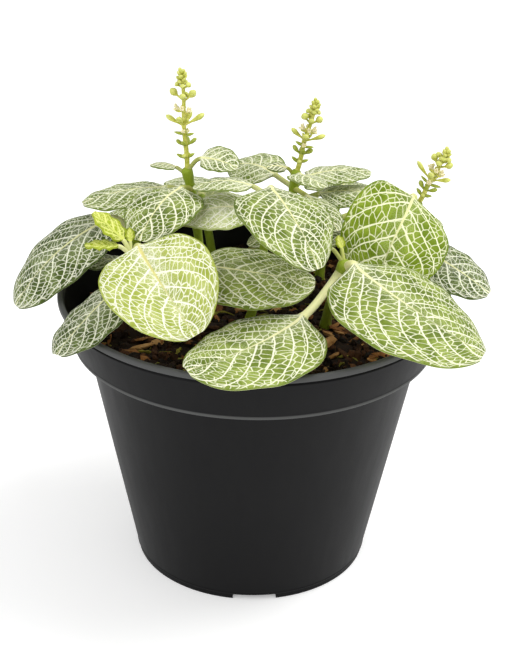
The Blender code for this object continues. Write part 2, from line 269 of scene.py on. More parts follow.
leafPlan = {
    # stem, how far up it the stalk leaves; heading; the stalk's slope and length; the blade's slope,
    # bend down, bend sideways, tilt and length; its shape; its tone
    "leaf_spike_left_right": ("stem_left_spike", 1.0, -20, 45, 8, 10, 35, 0, -20, 15, "round", "pale"),
    "leaf_spike_left_left": ("stem_left_spike", 0.95, 185, 40, 6, 25, 40, 0, 0, 10, "oval", "pale"),
    "leaf_upper_left": ("stem_left_spike", 0.85, -110, 20, 10, 15, 60, -10, 0, 36, "oval", "mid"),
    "leaf_left_back": ("stem_left_spike", 0.80, 190, 20, 10, 5, 25, 5, 0, 33, "oval", "pale"),
    "leaf_left_inner": ("stem_left_spike", 0.55, 190, 10, 8, 5, 20, 0, 0, 15, "oval", "dark"),
    "leaf_back_of_left_spike": ("stem_left_spike", 0.75, 95, 10, 10, 5, 40, 5, 0, 27, "oval", "pale"),
    "leaf_spike_centre_front": ("stem_centre_spike", 0.95, -75, 30, 7, 20, 35, 30, 10, 19, "oval", "pale"),
    "leaf_spike_centre_left": ("stem_centre_spike", 0.95, 180, 50, 5, 20, 40, 0, 20, 8, "oval", "mid"),
    "leaf_centre_back": ("stem_centre_spike", 0.85, 130, 10, 11, 15, 45, 15, 20, 26, "oval", "pale"),
    "leaf_right_back": ("stem_centre_spike", 0.85, 30, 30, 7, 10, 20, -40, 0, 26, "oval", "pale"),
    "leaf_right_back_low": ("stem_centre_spike", 0.70, 5, 20, 11, 15, 35, -35, 0, 32, "oval", "pale"),
    "leaf_centre_right": ("stem_centre_spike", 0.85, -60, 0, 10, 0, 40, 10, 5, 22, "oval", "mid"),
    "leaf_centre": ("stem_centre", 1.0, -80, 35, 10, 15, 75, 35, 5, 46, "oval", "mid"),
    "leaf_centre_left": ("stem_centre", 0.85, -175, 30, 6, 20, 60, -10, 20, 27, "oval", "glow"),
    "leaf_centre_top": ("stem_centre", 1.0, -190, 30, 6, 20, 45, 25, 0, 23, "long", "pale"),
    "leaf_centre_under": ("stem_centre", 0.50, -150, -10, 8, -30, 30, 0, 0, 15, "oval", "dark"),
    "leaf_front_right": ("stem_front_right", 0.95, -55, 30, 7, -10, 15, 35, -5, 60, "oval", "front"),
    "leaf_front_centre": ("stem_front_right", 0.90, -125, -20, 26, -5, 0, -30, 5, 53, "oval", "front"),
    "leaf_right_upright": ("stem_right_spike", 0.95, -105, 45, 10, -15, 70, -50, 40, 42, "round", "lit"),
    "leaf_far_right": ("stem_right_spike", 0.60, -30, 0, 11, -15, 20, 10, -15, 30, "oval", "dark"),
    "leaf_right_behind": ("stem_right_spike", 0.60, 110, -10, 8, -5, 45, 0, 0, 24, "oval", "mid"),
    "leaf_right_low": ("stem_right_spike", 0.35, 35, 10, 10, 5, 40, 0, 0, 24, "oval", "mid"),
    "leaf_inner_right": ("stem_right_spike", 0.60, 160, 10, 9, 10, 45, 10, 0, 26, "oval", "mid"),
    "leaf_front_left": ("stem_front_left", 0.95, -70, 50, 9, -10, 40, 35, -20, 43, "round", "bright"),
    "leaf_low_left": ("stem_front_left", 0.70, -140, 0, 11, -25, 10, 10, -10, 37, "oval", "dark"),
    # painted light: this leaf takes the lighter front colours to make up for the shade of the leaves above it
    "leaf_low_centre": ("stem_front_left", 0.70, -15, 20, 19, 0, 10, 15, -15, 44, "oval", "front"),
    "leaf_far_left": ("stem_left", 0.95, 205, 30, 9, -15, 45, 0, 10, 50, "long", "dark"),
    "leaf_left_under": ("stem_left", 0.45, 165, 10, 9, 5, 20, 0, 0, 20, "oval", "dark"),
    "leaf_left_behind": ("stem_left", 0.80, 130, 10, 8, 0, 45, 5, 0, 37, "oval", "dark"),
    "leaf_back_far_left": ("stem_back_left", 0.70, 150, 10, 12, 5, 45, 0, 0, 42, "oval", "mid"),
    "leaf_back_left": ("stem_back_left", 0.95, 95, 10, 8, 5, 60, 0, 0, 45, "oval", "mid"),
    "leaf_back_middle": ("stem_back_left", 0.90, 0, 10, 9, 10, 45, 0, 0, 28, "oval", "mid"),
    "leaf_back_right": ("stem_back_right", 0.95, 80, 10, 8, 5, 60, 0, 0, 45, "oval", "mid"),
    "leaf_back_far_right": ("stem_back_right", 0.70, 25, 10, 12, 10, 50, 0, 0, 42, "oval", "mid"),
    "leaf_back_low": ("stem_back_right", 0.50, 135, 10, 16, 10, 40, -25, 0, 36, "oval", "mid"),
    "leaf_inner_back": ("stem_back_right", 0.60, -160, 10, 10, 10, 40, 0, 0, 26, "oval", "mid"),
    "young_left_upper": ("stem_front_left", 1.0, 155, 60, 6, 40, 10, 0, 0, 15, "young", "young"),
    "young_left_lower": ("stem_front_left", 1.0, 190, 40, 6, 10, 15, 0, 0, 12, "young", "young"),
    "young_left_right": ("stem_front_left", 1.0, 100, 60, 5, 65, 10, 0, 0, 5, "young", "young"),
    "young_right_upper": ("stem_front_right", 1.0, 110, 60, 6, 50, 10, 0, 0, 5, "young", "young"),
    "young_right_lower": ("stem_front_right", 1.0, 150, 45, 7, 35, 10, 0, -30, 11, "young", "pale"),
}


# leaves

leafValues = {
    "blade": 0.42,        # thickness in mm at the middle
    "edge": 0.22,
    "curl": 0.12,         # how far the margins hang, as a share of the half width
    "quilt": 0.42,        # height in mm of the puffs between the side veins
    "keel": 0.55,         # midrib's ridge on the underside, mm
    "wave": 0.35,         # ripple of the margin, mm
    "step": 0.8,          # mesh step along the blade, mm
    "sideVeinSlope": 0.34,
    "sideVeinHook": 0.17,
    "baseFan": 1.7,       # side veins on each half that start at the very base
    "stalkThinnest": 0.55,
    "stalkGrowth": 0.018,  # mm of stalk radius for each mm of blade
}

# width as a share of the length, and the degrees by which the two halves are raised into a V
leafShapes = {"oval": (0.77, -4), "round": (0.96, 12), "long": (0.63, -4), "young": (0.6, 10)}

leafTones = {
    # field between the veins, side veins, midrib, how much white dust, stalk, spacing of the rungs in mm,
    # strength of the finest net
    "mid": {"dark": "#54661c", "light": "#849638", "vein": "#f0f1d2", "rib": "#ebe9ae", "frost": 0.06,
            "stalk": "#a3a843", "cell": 2.3, "net": 0.45},
    "front": {"dark": "#5e7022", "light": "#8fa040", "vein": "#f1f2d4", "rib": "#efedb8", "frost": 0.07,
              "stalk": "#dedd98", "cell": 2.4, "net": 0.4},
    "dark": {"dark": "#3b4a1a", "light": "#617132", "vein": "#e6e8d0", "rib": "#dcdca4", "frost": 0.08,
             "stalk": "#7f8b34", "cell": 2.2, "net": 0.5},
    "bright": {"dark": "#97a440", "light": "#b3be5b", "vein": "#f6f7e0", "rib": "#dfd98e", "frost": 0.22,
               "stalk": "#b5b862", "cell": 1.85, "net": 0.95},
    # painted light: a more saturated, yellower copy of the leaf colours for the upright leaf, standing in for
    # light shining through it from behind
    "lit": {"dark": "#62780a", "light": "#83991c", "vein": "#eef0c8", "rib": "#eaeab0", "frost": 0.05,
            "stalk": "#bcc05a", "cell": 2.6, "net": 0.25},
    "pale": {"dark": "#5a6c22", "light": "#82923f", "vein": "#e9ebcc", "rib": "#e0e0a8", "frost": 0.12,
             "stalk": "#98a045", "cell": 2.1, "net": 0.9},
    # painted light: a lighter copy of the leaf colours for a leaf that sits in the shade of the leaf above
    # it, so that it looks lit
    "glow": {"dark": "#95a553", "light": "#c0ca82", "vein": "#f6f6e4", "rib": "#f0eec6", "frost": 0.35,
             "stalk": "#b9bd62", "cell": 2.1, "net": 0.9},
    "young": {"dark": "#82920f", "light": "#aebc2b", "vein": "#dbe080", "rib": "#cfd768", "frost": 0.0,
              "stalk": "#a9b33c", "cell": 1.6, "net": 0.0},
}


def halfWidth(u):
    v = np.clip(u, 0, 1) ** 0.8
    return np.clip(1 - np.abs(2 * v - 1) ** 2.1, 0, 1) ** 0.56


def bladeFrames(plan, steps=96):
    base, heading, rise, droop, sweep, roll = plan["base"], *plan["turns"][:5]
    u = np.linspace(0, 1, steps + 1)
    h = np.radians(heading + sweep * u)
    p = np.radians(rise - droop * u)
    along = np.stack([np.cos(p) * np.cos(h), np.cos(p) * np.sin(h), np.sin(p)], -1)
    across = np.stack([np.sin(h), -np.cos(h), 0 * h], -1)
    out = np.cross(across, along)
    r = math.radians(roll)
    across, out = across * math.cos(r) + out * math.sin(r), out * math.cos(r) - across * math.sin(r)
    stride = (along[1:] + along[:-1]) / 2 * (plan["length"] / steps)
    points = np.vstack([base, base + np.cumsum(stride, 0)])
    return u, points, along, across, out


def atStation(frames, u):
    # midrib point and directions at each u
    grid = frames[0]
    return [np.stack([np.interp(u, grid, part[:, k]) for k in range(3)], -1) for part in frames[1:]]


def veinPhase(u, t, seed, pairs):
    # whole numbers lie on the side veins, which arch forwards from the midrib
    # and, at the base, fan out from the stalk's end
    far = np.abs(t)
    side = np.where(t > 0, 0.4, 0.0)
    wander = 0.09 * np.sin(7.3 * u + 3.1 * far + seed)
    wander = wander + 0.05 * np.sin(13.7 * u - 5.3 * far + 2.3 * seed + 9 * side)
    lead = leafValues["sideVeinSlope"] * far + leafValues["sideVeinHook"] * far ** 5
    fan = leafValues["baseFan"] * (u / np.maximum(lead, 1e-6) - 1)
    return np.where(u < lead, fan, pairs * (u - lead)) + side + wander * np.clip(u / 0.15, 0, 1) + 6


def leafFields(u, t, plan, seed):
    # the numbers that the leaf's material reads at each point of the flat blade
    pairs = 3.9 + plan["length"] / 21
    length, half = plan["length"], plan["width"] / 2
    wide = np.maximum(halfWidth(u) * half, 0.3)
    e = 1e-3
    phase = veinPhase(u, t, seed, pairs)
    phaseU = (veinPhase(u + e, t, seed, pairs) - veinPhase(u - e, t, seed, pairs)) / (2 * e)
    inner = np.where(t < 0, -1.0, 1.0)
    tIn = t - inner * e
    phaseT = (phase - veinPhase(u, tIn, seed, pairs)) / (inner * e)
    growth = (halfWidth(np.clip(u + e, 0, 1)) - halfWidth(np.clip(u - e, 0, 1))) * half / (2 * e)
    slopeY = phaseT / wide
    slopeX = (phaseU - slopeY * t * growth) / length
    pitch = 1 / np.maximum(np.hypot(slopeX, slopeY), 0.05)
    arc = 0.0
    for i in range(12):
        far = (i + 0.5) / 12 * np.abs(t)
        lead = length * (leafValues["sideVeinSlope"] + 5 * leafValues["sideVeinHook"] * far ** 4)
        arc = arc + np.hypot(wide, lead) * np.abs(t) / 12
    rung = arc + (phase - 6) / pairs * length * lead / np.hypot(wide, lead) + np.where(t > 0, 37.0, 0.0)
    return {
        "phase": phase, "pitch": np.clip(pitch, 0.3, 12), "run": np.abs(t) * wide,
        "share": u, "gap": (1 - np.abs(t)) * wide, "rung": rung, "alongMm": u * length,
    }


def stemControl(name):
    foot, lean, top = stemPlan[name][:3]
    return [(*foot, stemFoot), lean, top]


def readPlan(row):
    stem, joint, heading, climb, reach, rise, droop, turn, tilt, length, shape, tone = row
    ratio, fold = leafShapes[shape]
    way, slope = math.radians(heading), math.radians(climb)
    level, climbed = math.cos(slope), math.sin(slope)
    stalk = np.array([math.cos(way) * level, math.sin(way) * level, climbed]) * reach
    return {
        "stem": stem, "joint": joint, "base": curvePoint(stemControl(stem), joint) + stalk,
        "turns": (heading, rise, droop, turn, tilt), "fold": fold, "length": length, "width": length * ratio,
        "stalk": leafValues["stalkThinnest"] + leafValues["stalkGrowth"] * length, "tone": tone,
    }


def makeLeaf(name, row, seed):
    plan = readPlan(row)
    frames = bladeFrames(plan)
    length, width = plan["length"], plan["width"]
    stations = max(14, round(length / leafValues["step"]))
    ease = np.linspace(0, 1, stations + 1)
    u = 0.012 + (0.985 - 0.012) * (0.5 - 0.5 * np.cos(np.pi * ease)) ** 0.9
    half = max(5, round(width / leafValues["step"] / 2.2))
    side = np.sin(np.linspace(0, np.pi / 2, half + 1)) ** 0.9
    side[0] = 0.012
    t = np.concatenate([-side[::-1], side])
    uu, tt = np.meshgrid(u, t, indexing="ij")
    point, along, across, out = [part[:, None, :] for part in atStation(frames, u)]
    fields = leafFields(uu, tt, plan, seed)
    young = plan["tone"] == "young"
    teeth = 1 + young * (0.22 - 0.34 * np.abs((uu * 7 + 0.2) % 1.0 - 0.35)) * np.abs(tt) ** 4
    wide = (halfWidth(uu) * teeth * width / 2 * (1.1 if young else 1))[..., None]
    far = np.abs(tt)[..., None]
    fold = math.radians(plan["fold"])
    flat = point + across * (wide * tt[..., None] * math.cos(fold))
    flat = flat + out * (wide * (far * math.sin(fold) - leafValues["curl"] * far ** 2))
    size = 1.3 if young else min(1.0, width / 26)
    body = np.clip(uu / 0.12, 0, 1) * np.clip((1 - uu) / 0.1, 0, 1)
    puff = np.abs(np.sin(np.pi * fields["phase"])) ** 0.7 * np.clip(fields["gap"] / 3, 0, 1)
    puff = puff * np.clip(fields["run"] / 2.0, 0, 1) * leafValues["quilt"] * size * body
    groove = 0.25 * size * np.exp(-(fields["run"] / 0.8) ** 2) * body
    swing = np.sin(2 * np.pi * (3.3 * uu + 0.2 * seed) + (tt > 0) * 1.9)
    ripple = leafValues["wave"] * size * swing * far[..., 0] ** 3
    relief = (puff - groove + ripple)[..., None]
    thick = (leafValues["edge"] + (leafValues["blade"] - leafValues["edge"]) * (1 - far))
    keel = (leafValues["keel"] * size * (1.1 - uu) * np.exp(-(fields["run"] / 0.7) ** 2))[..., None]
    upper = flat + out * (relief + thick / 2)
    lower = flat + out * (relief - thick / 2 - keel)
    blade = np.concatenate([upper, lower[:, ::-1]], axis=1)

    # the stalk, a round rod whose last rings widen into the blade
    rings = 12
    control = stemControl(plan["stem"])
    joint = curvePoint(control, plan["joint"])
    start = point[0, 0]
    reach = np.linalg.norm(start - joint)
    bend = [joint, joint * 0.55 + start * 0.45, start - along[0, 0] * reach * 0.35, start + along[0, 0] * 0.3]
    s = np.linspace(0, 1, rings)
    centre = curvePoint(bend, s)
    direction = unit(np.gradient(centre, axis=0))
    sideways = unit(np.cross(direction, np.broadcast_to(out[0, 0], direction.shape)))
    upwards = np.cross(sideways, direction)
    count = blade.shape[1]
    angle = np.pi - 2 * np.pi * (np.arange(count) + 0.5) / count
    swell = 1 + 0.35 * np.exp(-(s / 0.12) ** 2)
    radius = (plan["stalk"] * swell)[:, None, None]
    stalk = centre[:, None] + radius * (
        sideways[:, None] * np.cos(angle)[None, :, None] + upwards[:, None] * np.sin(angle)[None, :, None])

    # the first few blade rings still hold the stalk's thickness
    merge = np.clip(1 - u / 0.075, 0, 1)[:, None, None] ** 1.5
    ringAngle = np.cos(angle)[None, :, None], np.sin(angle)[None, :, None]
    rod = point + plan["stalk"] * 0.85 * (across * ringAngle[0] + out * ringAngle[1])
    blade = blade * (1 - merge) + rod * merge
    rings3d = np.concatenate([stalk[:-1], blade], axis=0) * mm
    piece = skinRings("leafPiece_" + name, rings3d)

    stalkShape = (rings - 1, count)
    lift = np.concatenate([np.ones(count // 2), np.zeros(count // 2)])
    mirrored = {key: np.concatenate([value, value[:, ::-1]], axis=1) for key, value in fields.items()}
    for key, value in mirrored.items():
        before = np.repeat(value[:1], rings - 1, axis=0)
        if key == "share":
            before = np.repeat((s[:-1] - 1)[:, None], count, axis=1)
        rows = np.concatenate([before, value], axis=0)
        storeValues(piece, key, np.concatenate([rows, rows[:, :1]], axis=1))
    topSide = np.broadcast_to(lift, (rings - 1 + len(u), count))
    storeValues(piece, "topSide", np.concatenate([topSide, topSide[:, :1]], axis=1))
    signed = np.concatenate([mirrored["run"] * np.sign(np.concatenate([tt, tt[:, ::-1]], axis=1))], axis=0)
    signed = np.concatenate([np.zeros(stalkShape), signed], axis=0)
    storeValues(piece, "acrossMm", np.concatenate([signed, signed[:, :1]], axis=1))
    storeValues(piece, "seed", np.full(len(piece.data.vertices), seed, float))
    closeSkin(piece)
    smooth(piece, 50)
    finishPiece(piece, leafMaterials[plan["tone"]], [name])
    return piece


def leafMaterial(tone, look):
    f = Finish("leaf_" + tone)
    phase, pitch, run = f.attribute("phase"), f.attribute("pitch"), f.attribute("run")
    share, gap, topSide = f.attribute("share"), f.attribute("gap"), f.attribute("topSide")
    along, across, rungMm = f.attribute("alongMm"), f.attribute("acrossMm"), f.attribute("rung")
    seed = f.attribute("seed")
    flat = f.vector(along, across, seed * 7.3)
    large = f.noise(flat, 0.14, 2)
    fine = f.noise(flat, 1.1, 3)
    jitter = (f.noise(flat, 0.35, 1) - 0.5) * 0.12
    wobble = (fine - 0.5) * 0.4
    reach = run / (run + gap + 0.01)

    # side veins, by distance from the nearest whole phase; they thin out near the margin
    bent = phase + jitter
    away = (0.5 - abs(bent.fraction() - 0.5)) * pitch
    ribWide = 0.12 + 0.18 * (1 - reach)
    rib = away.rise(ribWide + 0.12, ribWide - 0.04) * reach.rise(1.08, 0.9)
    middleWide = 0.14 + (1 - share) ** 2.0 * 0.55
    middle = run.rise(middleWide + 0.14, middleWide - 0.08)

    # the net between them: rungs across, then a finer mesh near the midrib
    cell = {"voronoi_dimensions": "2D", "feature": "DISTANCE_TO_EDGE"}
    rungAt = f.vector(bent * 1.6 + wobble * 0.25, rungMm / look["cell"] + wobble * 0.5 + seed * 3.7, 0.0)
    rungCells = {"Vector": rungAt, "Scale": 1.0, "Randomness": 0.85}
    rungGap = f.node("ShaderNodeTexVoronoi", cell, rungCells) * look["cell"]
    wide = 0.05 + 0.12 * f.noise(flat, 0.4, 1)
    rung = rungGap.rise(wide + 0.13, wide - 0.05)
    netAt = f.vector(along / 0.95 + wobble, across / 0.95 + seed * 1.3 + wobble, 0.0)
    netGap = f.node("ShaderNodeTexVoronoi", cell, {"Vector": netAt, "Scale": 1.0, "Randomness": 1.0}) * 0.95
    net = netGap.rise(0.14, 0.02)
    nearMiddle = run.rise(8.0, 0.5) * share.rise(1.1, 0.15)
    frost = (nearMiddle * 0.8 + (large - 0.45) * 1.2).least(1.0).most(0.0)
    net = net * frost * look["net"]

    # a loop that joins the side veins' ends inside the margin
    loopAt = 2.3 - away.least(2.0) * 0.7
    loop = abs(gap - loopAt).rise(0.26, 0.06) * reach.rise(0.5, 0.7)
    inside = gap.rise(0.2, 0.9)
    veins = rib.most(rung * 0.82).most(loop * 0.7).most(net) * inside
    veins = veins.most(middle)

    # colours
    field = f.mix(large.rise(0.3, 0.7), colour(look["dark"]), colour(look["light"]))
    field = f.mix(fine.rise(0.4, 0.75) * 0.4, field, colour(look["dark"]))
    field = f.mix(frost * look["frost"], field, colour(look["vein"]))
    field = f.mix(gap.rise(0.9, 0.15) * 0.5, field, colour(look["dark"]))
    line = f.mix(middle, colour(look["vein"]), colour(look["rib"]))
    top = f.mix(veins, field, line)
    underField = f.mix(large, colour(look["light"]), colour(look["vein"]))
    under = f.mix(veins * 0.7, f.mix(0.35, underField, colour(look["light"])), colour(look["rib"]))
    whole = f.mix(topSide.rise(0.4, 0.6), under, top)
    rod = f.mix(fine.rise(0.3, 0.7), colour(look["stalk"]), colour("#e9e8b4"))
    whole = f.mix(share.rise(0.03, -0.02), whole, rod)

    dome = rungGap.rise(0.0, 1.0) * 0.7 + netGap.rise(0.0, 0.4) * 0.3
    height = dome * (1 - veins * 0.6) * share.rise(-0.02, 0.05)
    relief = f.bump(height, 0.0003, 0.7)
    relief = f.bump(f.noise(flat, 4.0, 2), 0.00006, 0.5, relief)
    f.give(baseColor=whole, roughness=0.46 + fine * 0.16, normal=relief)
    f.give(subsurfaceWeight=0.10, subsurfaceRadius=(0.0016, 0.0022, 0.0006), subsurfaceScale=1.0)
    return f.give(specularIorLevel=0.16)


leafMaterials = {tone: leafMaterial(tone, look) for tone, look in leafTones.items()}
for number, (name, row) in enumerate(leafPlan.items()):
    makeLeaf(name, row, 1 + number * 1.7)
print("leaves:", len(leafPlan))


# stems

def rodRings(centre, radius, sides, flatten=1.0, hint=(0, 1, 0)):
    # round or flattened rings of points along a line of centres, all in mm
    centre = np.asarray(centre, float)
    along = unit(np.gradient(centre, axis=0))
    side = unit(np.cross(along, np.broadcast_to(hint, along.shape)))
    front = np.cross(side, along)
    angle = 2 * np.pi * np.arange(sides) / sides
    radius = np.broadcast_to(radius, len(centre))[:, None, None]
    wide, deep = np.cos(angle)[None, :, None], (flatten * np.sin(angle))[None, :, None]
    ring = side[:, None] * wide + front[:, None] * deep
    return centre[:, None] + radius * ring


def stemMaterial():
    f = Finish("stem_green")
    place = f.place()
    long = f.noise(f.vector(*[part * scale for part, scale in zip(f.parts(place), (900, 900, 120))]), 1.0, 2)
    speck = f.noise(place, 2600.0, 1)
    base = f.mix(long, colour("#78901a"), colour("#9cae2e"))
    base = f.mix(speck.rise(0.62, 0.8) * 0.2, base, colour("#dfe3a6"))
    f.give(baseColor=base, roughness=0.5, sheenWeight=0.08, specularIorLevel=0.25)
    f.give(subsurfaceWeight=0.15, subsurfaceRadius=(0.001, 0.0014, 0.0004), subsurfaceScale=1.0)
    return f.give(normal=f.bump(speck, 0.0001, 0.5))


stemGreen = stemMaterial()


def makeStem(name):
    radius = stemPlan[name][3]
    t = np.linspace(0, 1, 40)
    centre = curvePoint(stemControl(name), t)
    joints = sorted({row[1] for row in leafPlan.values() if row[0] == name})
    swell = 1 + 0.25 * np.maximum(0, 1 - 6 * t) + 0.15 * np.maximum(0, 6 * t - 5)
    for joint in joints:
        swell = swell + 0.16 * np.exp(-((t - joint) / 0.035) ** 2)
    girth = radius * swell * 0.97
    along = unit(centre[-1] - centre[-2])
    dome = [0.35, 0.6, 0.78]
    centre = np.vstack([centre, [centre[-1] + along * radius * d for d in dome]])
    girth = np.concatenate([girth, [girth[-1] * math.sqrt(1 - d * d) for d in (0.45, 0.75, 0.95)]])
    centre[0, 2] -= 1.2
    piece = skinRings("stemPiece_" + name, rodRings(centre, girth, 18) * mm)
    closeSkin(piece)
    smooth(piece, 60)
    finishPiece(piece, stemGreen, [name])


for name in stemPlan:
    makeStem(name)
print("stems:", len(stemPlan))


# flower spikes: opposite pairs up the stalk, each pair turned a quarter from the last

spikePlan = {
    # the stem that carries it, its tip in mm, the turn of its lowest pair in degrees
    "spike_left": ("stem_left_spike", (-28, 13, 192), 10),
    "spike_centre": ("stem_centre_spike", (22, 20, 179), -5),
    "spike_right": ("stem_right_spike", (70, 2, 167), 15),
}
spikeTiers = [
    # how far up the stalk; then what stands on the two main sides and what on the two between them:
    # shape, how far out and how far up it reaches (mm), half width (mm)
    (0.14, ("point", 3.3, 1.5, 0.8), ("bud", 2.4, 1.0, 0.8)),
    (0.26, ("leaf", 3.8, 2.6, 1.0), ("point", 3.2, 2.4, 0.8)),
    (0.38, ("point", 4.2, 1.0, 0.7), ("flower", 2.6, 1.4, 1.1)),
    (0.47, ("paddle", 7.0, 3.6, 0.95), ("paddle", 5.6, 3.8, 0.9)),
    (0.49, ("nub", 1.8, 2.6, 0.7), ("nub", 1.5, 2.6, 0.6)),
    (0.62, ("flower", 2.9, 1.5, 1.6), ("flower", 2.3, 1.2, 1.2)),
    (0.74, ("bud", 4.0, 3.2, 1.4), ("bud", 2.8, 2.4, 1.2)),
    (0.86, ("bud", 2.4, 1.8, 1.2), ("bud", 1.6, 1.6, 1.0)),
]

partShapes = {
    # how the width grows along the part (share along, share of its half width), thickness against width, bend
    "bud": (
        ((0, 0.26), (0.45, 0.24), (0.62, 0.75), (0.78, 1.0), (0.93, 0.86), (1.05, 0.5), (1.1, 0.15)),
        0.92, 0.25,
    ),
    "nub": (((0, 0.7), (0.3, 0.8), (0.65, 1.0), (0.9, 0.7), (1.0, 0.25)), 0.7, 0.2),
    "paddle": (((0, 0.55), (0.28, 0.45), (0.5, 0.85), (0.74, 1.25), (0.9, 1.0), (1.0, 0.3)), 0.75, 0.34),
    "point": (((0, 0.8), (0.25, 1.1), (0.5, 1.25), (0.8, 0.8), (1.0, 0.1)), 0.6, 0.12),
    "leaf": (((0, 0.4), (0.3, 0.6), (0.55, 1.1), (0.8, 1.2), (0.95, 0.8), (1.02, 0.25)), 0.6, 0.2),
    "petal": (((0, 0.4), (0.4, 0.7), (0.75, 1.0), (1.0, 0.5)), 0.6, 0.25),
}


def spikeMaterial():
    f = Finish("spike_green")
    place = f.place()
    kind, tip = f.attribute("kind"), f.attribute("tip")
    cloud, speck = f.noise(place, 500.0, 2), f.noise(place, 2400.0, 1)
    green = f.mix(cloud.rise(0.3, 0.7), colour("#abae36"), colour("#d3d26c"))
    green = f.mix(tip.rise(0.5, 1.0) * 0.55, green, colour("#d9df86"))
    pink = f.mix(tip.rise(0.2, 0.9), colour("#dcd88c"), colour("#efe6ba"))
    shade = f.mix(kind.rise(0.4, 0.6), green, pink)
    shade = f.mix(kind.rise(-0.4, -0.6) * 0.8, shade, colour("#93a233"))
    shade = f.mix(speck.rise(0.6, 0.85) * 0.3, shade, colour("#eef0c4"))
    f.give(baseColor=shade, roughness=0.5, sheenWeight=0.08, specularIorLevel=0.25)
    f.give(subsurfaceWeight=0.2, subsurfaceRadius=(0.001, 0.0012, 0.0004), subsurfaceScale=1.0)
    return f.give(normal=f.bump(speck, 0.0001, 0.5))


spikeGreen = spikeMaterial()


def sprig(shape, start, end, half, sag, kind, sides=10):
    # one bud, bract or petal from its joint to its end
    rows, flatten, bend = partShapes[shape]
    start, end = np.asarray(start, float), np.asarray(end, float)
    reach = end - start
    share = np.array([row[0] for row in rows])
    width = np.array([row[1] for row in rows]) * half
    if shape == "bud":
        width[:2] = 0.42
    centre = start + reach * share[:, None] + sag * bend * (share * (1 - share) * 2)[:, None]
    rings = rodRings(centre, width, sides, flatten, unit(sag))
    piece = skinRings("sprig", rings * mm)
    grid = np.broadcast_to(share[:, None], (len(share), sides + 1))
    storeValues(piece, "tip", grid)
    storeValues(piece, "kind", np.full(len(piece.data.vertices), kind, float))
    closeSkin(piece)
    return piece


def spikeItems(turn, dice):
    # every part of a spike: shape, share up the stalk, reach to the right, up and to the front, half width
    items = []
    for share, *sides in spikeTiers:
        for side, (shape, out, up, half) in enumerate(sides):
            for opposite in range(2):
                angle = math.radians(turn + 90 * side + 180 * opposite + dice.uniform(-14, 14))
                grown = dice.uniform(0.85, 1.12)
                place = share + dice.uniform(-0.015, 0.015)
                reach = out * grown
                items.append((shape, place, reach * math.cos(angle), up * grown, reach * math.sin(angle),
                              half * dice.uniform(0.9, 1.1)))
    return items


def makeSpike(name):
    stem, tip, turn = spikePlan[name]
    top, radius = stemPlan[stem][2:]
    tip, top = np.array(tip, float), np.array(top, float)
    along = unit(tip - top)
    right = unit(np.array([1.0, 0, 0]) - along * along[0])
    front = np.cross(along, right) * -1
    if front[1] > 0:
        front = -front
    start = top + along * (radius * 0.3)
    length = np.linalg.norm(tip - start) - 2.0
    dice = random.Random(name)
    items = spikeItems(turn, dice)
    t = np.linspace(0, 1, 26)
    wobble = right * (0.25 * np.sin(t * 9 + len(items)))[:, None]
    centre = start + along * (t * length)[:, None] + wobble
    ledges = [tier[0] for tier in spikeTiers]
    girth = 0.98 - 0.4 * t + sum(0.14 * np.exp(-((t - ledge) / 0.02) ** 2) for ledge in ledges)
    stalk = skinRings("stalk", rodRings(centre, girth, 14) * mm)
    storeValues(stalk, "tip", np.zeros(len(stalk.data.vertices)))
    storeValues(stalk, "kind", np.zeros(len(stalk.data.vertices)))
    closeSkin(stalk)
    parts = [stalk]
    for shape, share, out, up, forward, half in items:
        joint = start + along * share * length
        end = joint + right * out + along * up + front * forward
        sideways = unit(right * out + front * forward)
        joint = joint + sideways * 0.35
        half = half * 1.12
        down = unit(sideways * 0.6 - along)
        if shape == "flower":
            axis = unit(end - joint)
            across = unit(np.cross(axis, along))
            heart = end - axis * half * 0.9
            parts.append(sprig("bud", joint, end - axis * half * 0.3, half * 0.55, down, 1.0))
            for turn in range(5):
                angle = turn * 1.257 + dice.uniform(-0.3, 0.3)
                spread = across * math.cos(angle) + np.cross(across, axis) * math.sin(angle)
                far = heart + axis * half * dice.uniform(0.8, 1.2) + spread * half * dice.uniform(0.55, 0.8)
                parts.append(sprig("petal", heart, far, half * 0.42, down, 1.0, 8))
            parts.append(sprig("point", joint, end - along * half * 0.9, half * 0.4, down, 0.0, 8))
        else:
            tone = -1.0 if shape in ("point", "leaf") else 0.0
            parts.append(sprig(shape, joint, end, half, down, tone))
    head = start + along * (length - 3.4)
    for number in range(13):
        level = number / 12
        angle = number * 2.4
        spread = right * math.cos(angle) + front * math.sin(angle)
        out = 2.1 * math.sqrt(max(0.0, 1 - (level * 1.25 - 0.35) ** 2))
        base = head + along * (level * 4.2)
        end = base + spread * out + along * (1.4 + 0.6 * level)
        half = dice.uniform(0.8, 1.05)
        parts.append(sprig("nub", base, end, half, unit(spread - along * 0.4), 0.0, 9))
    piece = joinAll("spikePiece_" + name, parts)
    smooth(piece, 60)
    finishPiece(piece, spikeGreen, [name])


for name in spikePlan:
    makeSpike(name)
print("spikes:", len(spikePlan))


# the pot

potValues = {
    # outline in mm: radius, height, how much the corner is rounded
    "outline": (
        (3, 2.6, 0), (42.4, 2.6, 0.3), (42.4, 0, 0.3), (45.4, 0, 0.5), (45.4, 2.1, 0.2), (46.1, 2.6, 0.3),
        (46.0, 3.3, 0.3), (64, 92, 0.4), (69.1, 92, 0.45), (69.3, 92.9, 0.3), (69.15, 93.5, 0.2),
        (73.75, 107.6, 0.3), (73.35, 108.1, 0.2), (73.6, 108.6, 0.2), (74.5, 108.9, 0.4), (74.5, 111, 0.9),
        (72.5, 111, 0.7), (67.6, 93.4, 0.8), (62.8, 93.4, 0.8), (44.6, 4, 1.2), (3, 4, 0),
    ),
    "segments": 192,
    "holes": 6,
    "holeRadius": 4 * mm,
    "holeCircle": 33 * mm,
    "notches": 4,
    "notchTurn": 2.5,      # degrees
    "notchCircle": 46 * mm,
    "notchSize": (12 * mm, 16.5 * mm, 4 * mm),
}


